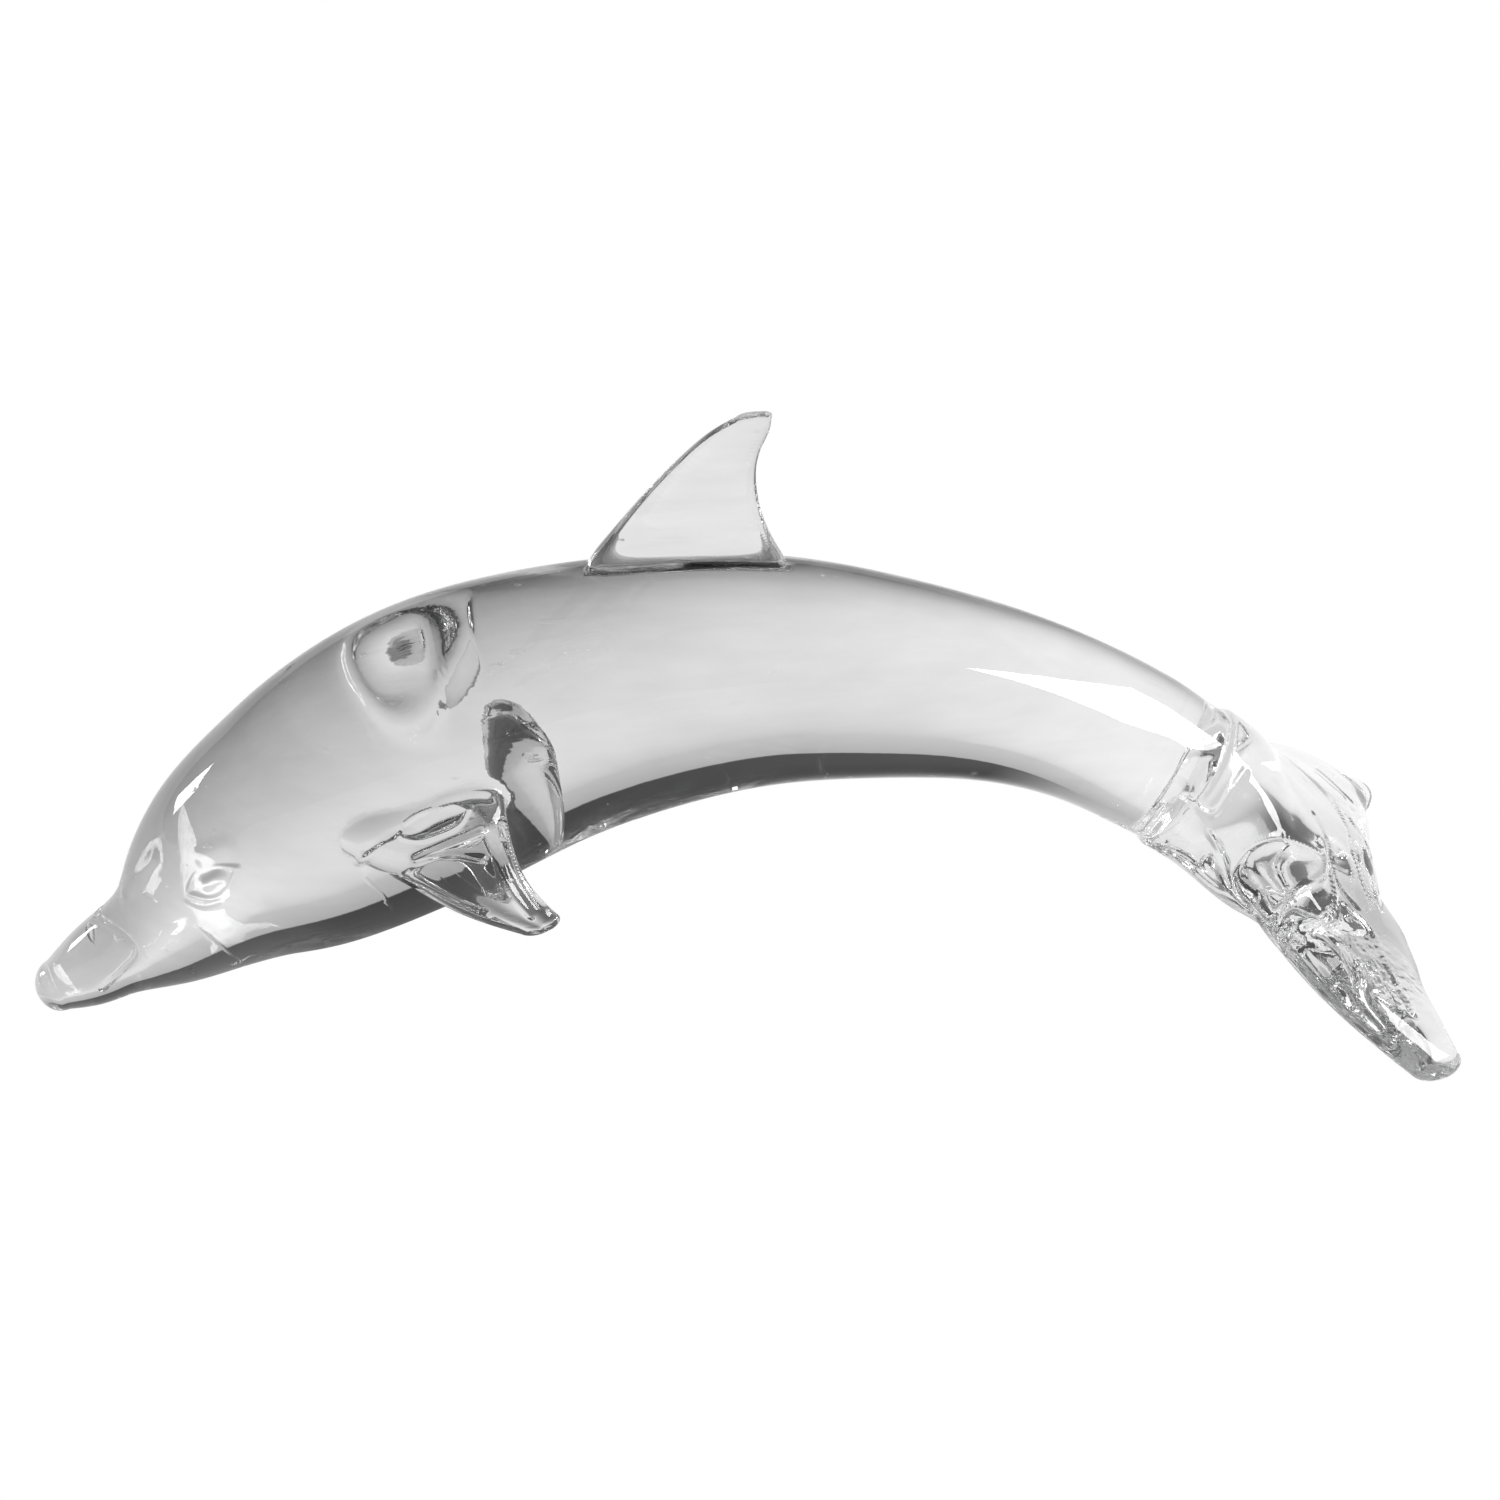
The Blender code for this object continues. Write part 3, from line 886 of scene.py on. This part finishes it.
# %% [markdown]
# The tail's lines run over its fan and the near fluke. The last line of all is the bead round the far fin's
# root, which shows through the body as the bright rim of a round shape.

# %% Lines of the tail and the far weld
TAIL_LINES = (
    (0.90, 0.60, (
        (128.0, -47.0, 26.7), (133.7, -54.6, 21.6), (138.9, -59.3, 17.3), (147.1, -63.3, 11.4),
    )),
    (0.80, -0.80, ((136.3, -55.8, 22.2), (137.9, -57.1, 21.1), (138.9, -58.9, 18.8))),
    (0.80, -0.80, ((140.5, -59.8, 18.1), (142.9, -61.4, 15.8), (145.4, -62.7, 12.9))),
    (0.90, -0.40, (
        (137.1, 23.8, 35.1), (145.7, 17.6, 27.2), (147.4, -4.5, 26.1), (148.7, -25.0, 23.4),
    )),
    (0.90, 0.40, ((146.5, 41.0, 22.6), (153.0, 32.2, 18.7))),
    (1.00, -0.40, (
        (138.7, -3.0, 35.3), (140.2, -15.1, 32.8), (140.7, -26.3, 30.2), (144.1, -30.8, 26.4),
    )),
    (1.00, 0.60, (
        (140.9, -32.6, 28.9), (145.9, -34.3, 24.2), (149.0, -45.4, 19.3), (152.7, -56.7, 14.5),
    )),
    (0.90, -0.35, ((149.6, 14.9, 23.8), (152.7, 1.6, 21.2))),
    (0.90, -0.40, (
        (116.7, -28.0, 35.2), (120.3, -26.1, 40.4), (127.7, -24.1, 42.1), (139.2, -18.6, 33.1),
    )),
    (0.90, -0.40, (
        (116.7, -28.0, 35.2), (117.5, -30.7, 31.6), (120.7, -35.4, 29.2), (123.7, -40.7, 29.6),
    )),
    (0.90, 0.45, (
        (139.2, -18.6, 33.1), (135.5, -30.5, 34.3), (130.5, -35.9, 35.1), (124.1, -41.6, 28.9),
    )),
    (0.90, 0.45, (
        (127.0, -45.7, 27.3), (131.5, -45.1, 29.2), (136.5, -39.4, 29.9), (139.2, -18.6, 33.1),
    )),
    (0.90, -0.40, (
        (128.0, -46.3, 27.6), (134.2, -44.5, 28.7), (138.5, -48.5, 25.8), (140.3, -55.5, 22.3),
    )),
    (0.90, -0.45, (
        (140.7, -45.7, 25.2), (143.6, -49.5, 22.7), (141.9, -56.2, 21.3), (146.3, -62.3, 14.6),
    )),
    (0.80, -0.40, (
        (107.9, -17.4, 49.6), (113.2, -19.7, 46.2), (117.2, -18.1, 50.2), (121.4, -13.3, 53.5),
    )),
    (0.80, -0.35, ((112.4, -20.9, 41.8), (114.9, -24.7, 37.3), (116.0, -28.4, 32.9))),
    (0.70, -0.20, (
        (93.0, -11.3, 40.7), (97.3, -11.0, 37.6), (99.8, -15.3, 42.0), (103.0, -17.5, 47.6),
    )),
)  # fmt: skip
FAR_WELD_LINES = (
    (1.20, 0.70, (
        (-73.5, 32.8, 51.8), (-69.0, 32.6, 49.7), (-64.0, 32.6, 50.2), (-58.8, 32.6, 53.4),
        (-54.0, 32.5, 56.8), (-49.8, 32.5, 59.8),
    )),
)  # fmt: skip
print("lines:", len(TAIL_LINES), "in the tail,", len(FAR_WELD_LINES), "at the far weld")

# %% [markdown]
# ### Drawing the lines
# A line shows only where the mesh is finer than the line is wide, so the edges near it are split first.
# Then each point near it moves along its normal, by a bell curve of its distance. Where lines meet, the
# higher one counts and they aren't added up, because a doubled height would be a wart.

# %% Ridges and grooves
LINE_STEPS = 12
LINE_REACH = 3
FINENESS = 0.55
FINER_ROUNDS = 3


def on_both_sides(lines):
    mirrored = []
    for wide, height, line in lines:
        mirrored.append((wide, height, tuple((x, -y, z) for x, y, z in line)))
    return (*lines, *mirrored)


def make_finer(body, lines):
    """Splits the edges near the lines until they are short beside the lines' half widths."""
    places = [(point, wide) for wide, _, line in lines for point in spline(line, LINE_STEPS)]
    tree = KDTree(len(places))
    for i, (point, _) in enumerate(places):
        tree.insert(point * MM, i)
    tree.balance()
    skin = bmesh.new()
    skin.from_mesh(body.data)
    for _ in range(FINER_ROUNDS):
        long = []
        for edge in skin.edges:
            _, i, away = tree.find((edge.verts[0].co + edge.verts[1].co) / 2)
            wide = places[i][1] * MM
            if away < LINE_REACH * wide and edge.calc_length() > FINENESS * wide:
                long.append(edge)
        bmesh.ops.subdivide_edges(skin, edges=long, cuts=1, use_grid_fill=True)
    bmesh.ops.triangulate(skin, faces=[face for face in skin.faces if len(face.verts) > 4])
    skin.to_mesh(body.data)
    skin.free()


def draw_lines(body, lines):
    make_finer(body, lines)
    points = numbers_of(body, "co") / MM
    normals = numbers_of(body, "normal")
    raised, pressed = np.zeros(len(points)), np.zeros(len(points))
    for wide, height, line in lines:
        dense = spline(line, LINE_STEPS)
        low, high = dense.min(0) - LINE_REACH * wide, dense.max(0) + LINE_REACH * wide
        close = np.nonzero(((points > low) & (points < high)).all(1))[0]
        away = np.linalg.norm(points[close, None] - dense[None], axis=2).min(1)
        rise = height * np.exp(-((away / wide) ** 2))
        raised[close] = np.maximum(raised[close], rise)
        pressed[close] = np.minimum(pressed[close], rise)
    put_points(body, (points + normals * (raised + pressed)[:, None]) * MM)
    return len(points)


every_line = on_both_sides(EYE_LINES) + NEAR_FIN_LINES + DORSAL_LINES + TAIL_LINES + FAR_WELD_LINES
print(len(every_line), "lines drawn on", draw_lines(dolphin, every_line), "points")

# %% [markdown]
# A ridge may stand proud of the box by a hair, so the piece is laid into the box once more.

# %% Into the box again
print("scaled by", fit_to_box(dolphin, *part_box("glass_dolphin")).round(5).tolist())

# %% [markdown]
# ## The glass
# Clear glass is a Principled shader with full transmission. The body is slightly grey where it is thick, so
# the grey belongs in the volume and not on the surface: a thin fin stays clearer than the thick chest.
# Hand-worked glass also keeps faint cords, drawn out lengthwise like grain, and years of dusting leave
# small scratches and pits. Streaked noise gives the cords, and a few thresholds of noise give the wear. The
# small dents near the near fluke's tip are left by the jacks, the tongs that pulled the tail out.

# %% The glass
GLASS_IOR = 1.52
CLEAR = (1.0, 1.0, 1.0, 1)
CORDED = (0.79, 0.79, 0.79, 1)
ABSORPTION_COLOUR = (0.35, 0.36, 0.36, 1)
ABSORPTION_DENSITY = 1.4
CORD_SCALE = (40.0, 260.0, 260.0)
CORD_HEIGHT = 0.010
GRAIN_SCALE = 900.0
GRAIN_HEIGHT = 0.0012
SCRATCH_SCALE = (160, 420, 420)
SCRATCH_TURN = (0.4, 0.5, 0.3)
SCRATCH_SHARE = 0.62
WORN_SPOT_SCALE = 38.0
WORN_SPOT_SHARE = 0.42
WEAR_FROM = 0.685
WEAR_TO = 0.725
WEAR_HEIGHT = 0.03
WEAR_ROUGHNESS = 0.35
JACK_MARKS_AT = (0.147, -0.046, 0.016)
JACK_MARKS_REACH = (0.012, 0.012, 0.014)
JACK_MARKS_EDGE = 0.7
JACK_MARKS_SCALE = 420.0
JACK_MARKS_HEIGHT = 0.7


def make_glass():
    glass = bpy.data.materials.new("clear_glass_polished")
    tree = Tree(glass)
    place = tree.add("ShaderNodeTexCoord", out=3)
    drawn = tree.add("ShaderNodeMapping", sockets={"Vector": place, "Scale": CORD_SCALE})
    sockets = {"Vector": drawn, "Scale": 1.0, "Detail": 3.0, "Roughness": 0.5}
    cords = tree.add("ShaderNodeTexNoise", sockets=sockets)
    sockets = {"Vector": place, "Scale": GRAIN_SCALE, "Detail": 2.0}
    grain = tree.add("ShaderNodeTexNoise", sockets=sockets)
    colour = tree.add("ShaderNodeMix", {"data_type": "RGBA"}, {0: cords, 6: CLEAR, 7: CORDED}, out=2)
    sockets = {"Vector": place, "Scale": SCRATCH_SCALE, "Rotation": SCRATCH_TURN}
    cut = tree.add("ShaderNodeMapping", sockets=sockets)
    scratches = tree.add("ShaderNodeTexNoise", sockets={"Vector": cut, "Scale": 1.0, "Detail": 1.0})
    sockets = {"Vector": place, "Scale": WORN_SPOT_SCALE, "Detail": 1.0}
    where = tree.add("ShaderNodeTexNoise", sockets=sockets)
    mixed = scratches * SCRATCH_SHARE + where * WORN_SPOT_SHARE
    worn = tree.add("ShaderNodeMapRange", sockets={0: mixed, 1: WEAR_FROM, 2: WEAR_TO, 3: 0.0, 4: 1.0})
    moved = tree.add("ShaderNodeVectorMath", {"operation": "SUBTRACT"}, {0: place, 1: JACK_MARKS_AT})
    sized = tree.add("ShaderNodeVectorMath", {"operation": "DIVIDE"}, {0: moved, 1: JACK_MARKS_REACH})
    reach = tree.add("ShaderNodeVectorMath", {"operation": "LENGTH"}, {0: sized}, out=1)
    marked = tree.add("ShaderNodeMapRange", sockets={0: reach, 1: 1.0, 2: JACK_MARKS_EDGE, 3: 0.0, 4: 1.0})
    sockets = {"Vector": place, "Scale": JACK_MARKS_SCALE, "Detail": 1.0}
    jacks = tree.add("ShaderNodeTexNoise", sockets=sockets)
    pressed = marked * jacks * JACK_MARKS_HEIGHT
    height = cords * CORD_HEIGHT + grain * GRAIN_HEIGHT + worn * WEAR_HEIGHT + pressed
    bump = tree.add("ShaderNodeBump", sockets={"Strength": 1.0, "Distance": 0.001, "Height": height})
    surface = tree.add(
        "ShaderNodeBsdfPrincipled",
        sockets={
            "Base Color": colour,
            "Roughness": worn * WEAR_ROUGHNESS,
            "IOR": GLASS_IOR,
            "Transmission Weight": 1.0,
            "Normal": bump,
        },
    )
    volume = tree.add("ShaderNodeVolumeAbsorption", sockets={0: ABSORPTION_COLOUR, 1: ABSORPTION_DENSITY})
    tree.add("ShaderNodeOutputMaterial", sockets={"Surface": surface, "Volume": volume})
    return glass


dolphin.data.materials.clear()
dolphin.data.materials.append(make_glass())
dolphin.data.shade_smooth()
print("glass:", dolphin.data.materials[0].name)

# %% [markdown]
# ## Into the frame
# The finished piece stands for the plain one, and moves with the model's only body.

# %% Handing over
bpy.context.scene.view_settings.view_transform = "Standard"
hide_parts("glass_dolphin")
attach(dolphin, "root")
